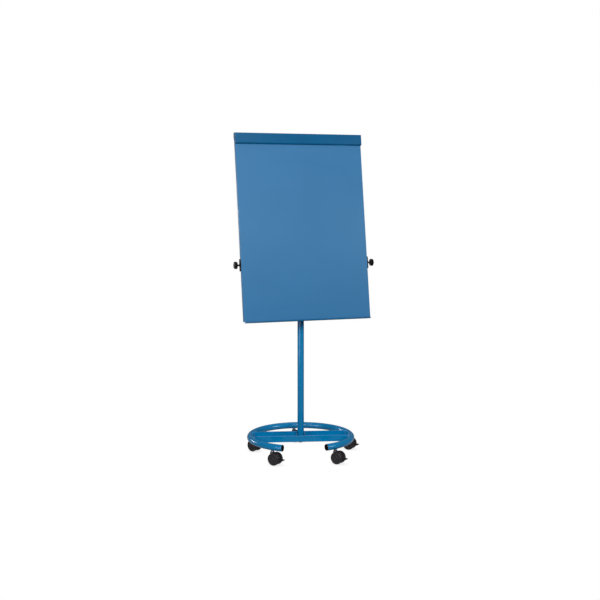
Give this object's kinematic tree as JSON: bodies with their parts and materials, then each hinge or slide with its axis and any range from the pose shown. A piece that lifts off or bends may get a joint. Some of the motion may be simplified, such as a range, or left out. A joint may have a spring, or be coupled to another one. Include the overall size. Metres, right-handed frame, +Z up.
{
  "type": "flipchart easel",
  "caption": "Mobile flipchart easel: a tilting steel board with a pad clamp on a telescopic swivel column, on an open ring base with braked twin-wheel casters.",
  "frame": {"origin": "on the floor, on the column's axis", "axes": "+Z up; -Y is the way the writing face looks, seen from above; +X is the viewer's right"},
  "size_m": [0.7722, 0.6088, 1.7152],
  "materials": {
    "gloss_paint": "gloss blue powder coat with a fine orange peel",
    "panel_paint": "satin light blue lacquer",
    "clamp_paint": "satin darker blue lacquer",
    "black_plastic": "black moulded plastic, finely textured",
    "caster_plastic": "dark grey nylon, satin",
    "wheel_plastic": "dark grey nylon, satin, with a worn tread",
    "rubber": "matte black rubber",
    "zinc_steel": "zinc-plated steel",
    "nylon": "natural nylon"
  },
  "bodies": {
    "base": {"base_ring": "gloss_paint", "ring_end_plugs": "black_plastic", "base_channel": "gloss_paint", "socket_plates": "gloss_paint", "column_tube": "gloss_paint", "column_foot_plug": "zinc_steel", "column_bolt": "zinc_steel", "caster_sockets": "gloss_paint", "caster_stems": "zinc_steel", "height_collar": "black_plastic", "collar_guide_bush": "nylon", "height_brake_shoe": "nylon"},
    "height_clamp": {"height_knob": "black_plastic", "height_stud": "zinc_steel"},
    "mast_slider": {"mast_foot_bush": "nylon"},
    "mast": {"mast_tube": "gloss_paint", "mast_head_plates": "gloss_paint", "mast_top_cap": "black_plastic", "cross_tube": "gloss_paint", "cross_tube_inserts": "zinc_steel"},
    "tilt_clamp_left": {"tilt_knob_left": "black_plastic", "tilt_stud_left": "zinc_steel"},
    "tilt_clamp_right": {"tilt_knob_right": "black_plastic", "tilt_stud_right": "zinc_steel"},
    "board": {"writing_panel": "panel_paint", "back_stiffeners": "panel_paint", "pen_ledge": "clamp_paint", "side_pads": "black_plastic", "friction_washers": "rubber", "clamp_pivot_pins": "zinc_steel", "clamp_springs": "zinc_steel"},
    "clamp": {"clamp_bar": "clamp_paint", "clamp_grip_strip": "rubber"},
    "peg_left": {"pad_peg_left": "zinc_steel"},
    "peg_right": {"pad_peg_right": "zinc_steel"},
    "caster_fl": {"caster_fl_hood": "caster_plastic", "caster_fl_axle": "zinc_steel"},
    "caster_fl_wheel_l": {"caster_fl_wheel_left": "wheel_plastic"},
    "caster_fl_wheel_r": {"caster_fl_wheel_right": "wheel_plastic"},
    "caster_fl_brake": {"caster_fl_brake_lever": "caster_plastic"},
    "caster_fr": {"caster_fr_hood": "caster_plastic", "caster_fr_axle": "zinc_steel"},
    "caster_fr_wheel_l": {"caster_fr_wheel_left": "wheel_plastic"},
    "caster_fr_wheel_r": {"caster_fr_wheel_right": "wheel_plastic"},
    "caster_fr_brake": {"caster_fr_brake_lever": "caster_plastic"},
    "caster_left": {"caster_left_hood": "caster_plastic", "caster_left_axle": "zinc_steel"},
    "caster_left_wheel_l": {"caster_left_wheel_left": "wheel_plastic"},
    "caster_left_wheel_r": {"caster_left_wheel_right": "wheel_plastic"},
    "caster_left_brake": {"caster_left_brake_lever": "caster_plastic"},
    "caster_right": {"caster_right_hood": "caster_plastic", "caster_right_axle": "zinc_steel"},
    "caster_right_wheel_l": {"caster_right_wheel_left": "wheel_plastic"},
    "caster_right_wheel_r": {"caster_right_wheel_right": "wheel_plastic"},
    "caster_right_brake": {"caster_right_brake_lever": "caster_plastic"},
    "caster_rear": {"caster_rear_hood": "caster_plastic", "caster_rear_axle": "zinc_steel"},
    "caster_rear_wheel_l": {"caster_rear_wheel_left": "wheel_plastic"},
    "caster_rear_wheel_r": {"caster_rear_wheel_right": "wheel_plastic"},
    "caster_rear_brake": {"caster_rear_brake_lever": "caster_plastic"}
  },
  "joints": [
    {"name": "mast_height", "type": "slide", "parent": "base", "child": "mast_slider", "axis": [0, 0, 1], "range_m": [0, 0.25]},
    {"name": "mast_swivel", "type": "hinge", "parent": "mast_slider", "child": "mast", "pos_m": [0, 0, 0.39], "axis": [0, 0, 1], "continuous": true},
    {"name": "board_tilt", "type": "hinge", "parent": "mast", "child": "board", "pos_m": [0, -0.0698, 1.0323], "axis": [-1, 0, 0], "range_deg": [-9.5, 80.5]},
    {"name": "clamp_open", "type": "hinge", "parent": "board", "child": "clamp", "pos_m": [0, 0.04056, 1.68788], "axis": [-1, 0, 0], "range_deg": [0, 20], "stiffness_Nm_per_rad": 1, "springref_deg": -28.65},
    {"name": "peg_left_slide", "type": "slide", "parent": "board", "child": "peg_left", "axis": [1, 0, 0], "range_m": [-0.06, 0.06]},
    {"name": "peg_right_slide", "type": "slide", "parent": "board", "child": "peg_right", "axis": [1, 0, 0], "range_m": [-0.06, 0.06]},
    {"name": "tilt_knob_left_turn", "type": "hinge", "parent": "mast", "child": "tilt_clamp_left", "pos_m": [-0.3576, -0.0698, 1.0323], "axis": [-1, 0, 0], "range_deg": [0, 540]},
    {"name": "tilt_knob_right_turn", "type": "hinge", "parent": "mast", "child": "tilt_clamp_right", "pos_m": [0.3576, -0.0698, 1.0323], "axis": [1, 0, 0], "range_deg": [0, 540]},
    {"name": "height_knob_turn", "type": "hinge", "parent": "base", "child": "height_clamp", "pos_m": [0.00886, 0.03489, 0.86], "axis": [0.2462, 0.9692, 0], "range_deg": [0, 540]},
    {"name": "caster_fl_swivel", "type": "hinge", "parent": "base", "child": "caster_fl", "pos_m": [-0.21311, -0.16982, 0.06], "axis": [0, 0, 1], "continuous": true},
    {"name": "caster_fl_roll_l", "type": "hinge", "parent": "caster_fl", "child": "caster_fl_wheel_l", "pos_m": [-0.18808, -0.17177, 0.0325], "axis": [0.7688, 0.6394, 0], "continuous": true},
    {"name": "caster_fl_roll_r", "type": "hinge", "parent": "caster_fl", "child": "caster_fl_wheel_r", "pos_m": [-0.21576, -0.19479, 0.0325], "axis": [0.7688, 0.6394, 0], "continuous": true},
    {"name": "caster_fl_brake_press", "type": "hinge", "parent": "caster_fl", "child": "caster_fl_brake", "pos_m": [-0.18721, -0.20096, 0.0385], "axis": [0.7688, 0.6394, 0], "range_deg": [0, 15]},
    {"name": "caster_fr_swivel", "type": "hinge", "parent": "base", "child": "caster_fr", "pos_m": [0.10538, -0.2513, 0.06], "axis": [0, 0, 1], "continuous": true},
    {"name": "caster_fr_roll_l", "type": "hinge", "parent": "caster_fr", "child": "caster_fr_wheel_l", "pos_m": [0.13032, -0.25412, 0.0325], "axis": [0.7907, 0.6122, 0], "continuous": true},
    {"name": "caster_fr_roll_r", "type": "hinge", "parent": "caster_fr", "child": "caster_fr_wheel_r", "pos_m": [0.10186, -0.27616, 0.0325], "axis": [0.7907, 0.6122, 0], "continuous": true},
    {"name": "caster_fr_brake_press", "type": "hinge", "parent": "caster_fr", "child": "caster_fr_brake", "pos_m": [0.13017, -0.28332, 0.0385], "axis": [0.7907, 0.6122, 0], "range_deg": [0, 15]},
    {"name": "caster_left_swivel", "type": "hinge", "parent": "base", "child": "caster_left", "pos_m": [-0.23046, 0.14541, 0.06], "axis": [0, 0, 1], "continuous": true},
    {"name": "caster_left_roll_l", "type": "hinge", "parent": "caster_left", "child": "caster_left_wheel_l", "pos_m": [-0.20604, 0.13957, 0.0325], "axis": [0.8594, 0.5113, 0], "continuous": true},
    {"name": "caster_left_roll_r", "type": "hinge", "parent": "caster_left", "child": "caster_left_wheel_r", "pos_m": [-0.23698, 0.12117, 0.0325], "axis": [0.8594, 0.5113, 0], "continuous": true},
    {"name": "caster_left_brake_press", "type": "hinge", "parent": "caster_left", "child": "caster_left_brake", "pos_m": [-0.20975, 0.1106, 0.0385], "axis": [0.8594, 0.5113, 0], "range_deg": [0, 15]},
    {"name": "caster_right_swivel", "type": "hinge", "parent": "base", "child": "caster_right", "pos_m": [0.27229, 0.0107, 0.06], "axis": [0, 0, 1], "continuous": true},
    {"name": "caster_right_roll_l", "type": "hinge", "parent": "caster_right", "child": "caster_right_wheel_l", "pos_m": [0.29739, 0.01094, 0.0325], "axis": [0.7102, 0.704, 0], "continuous": true},
    {"name": "caster_right_roll_r", "type": "hinge", "parent": "caster_right", "child": "caster_right_wheel_r", "pos_m": [0.27183, -0.0144, 0.0325], "axis": [0.7102, 0.704, 0], "continuous": true},
    {"name": "caster_right_brake_press", "type": "hinge", "parent": "caster_right", "child": "caster_right_brake", "pos_m": [0.3008, -0.01806, 0.0385], "axis": [0.7102, 0.704, 0], "range_deg": [0, 15]},
    {"name": "caster_rear_swivel", "type": "hinge", "parent": "base", "child": "caster_rear", "pos_m": [0.05083, 0.26772, 0.06], "axis": [0, 0, 1], "continuous": true},
    {"name": "caster_rear_roll_l", "type": "hinge", "parent": "caster_rear", "child": "caster_rear_wheel_l", "pos_m": [0.07572, 0.26447, 0.0325], "axis": [0.8013, 0.5983, 0], "continuous": true},
    {"name": "caster_rear_roll_r", "type": "hinge", "parent": "caster_rear", "child": "caster_rear_wheel_r", "pos_m": [0.04688, 0.24293, 0.0325], "axis": [0.8013, 0.5983, 0], "continuous": true},
    {"name": "caster_rear_brake_press", "type": "hinge", "parent": "caster_rear", "child": "caster_rear_brake", "pos_m": [0.07506, 0.23527, 0.0385], "axis": [0.8013, 0.5983, 0], "range_deg": [0, 15]}
  ]
}
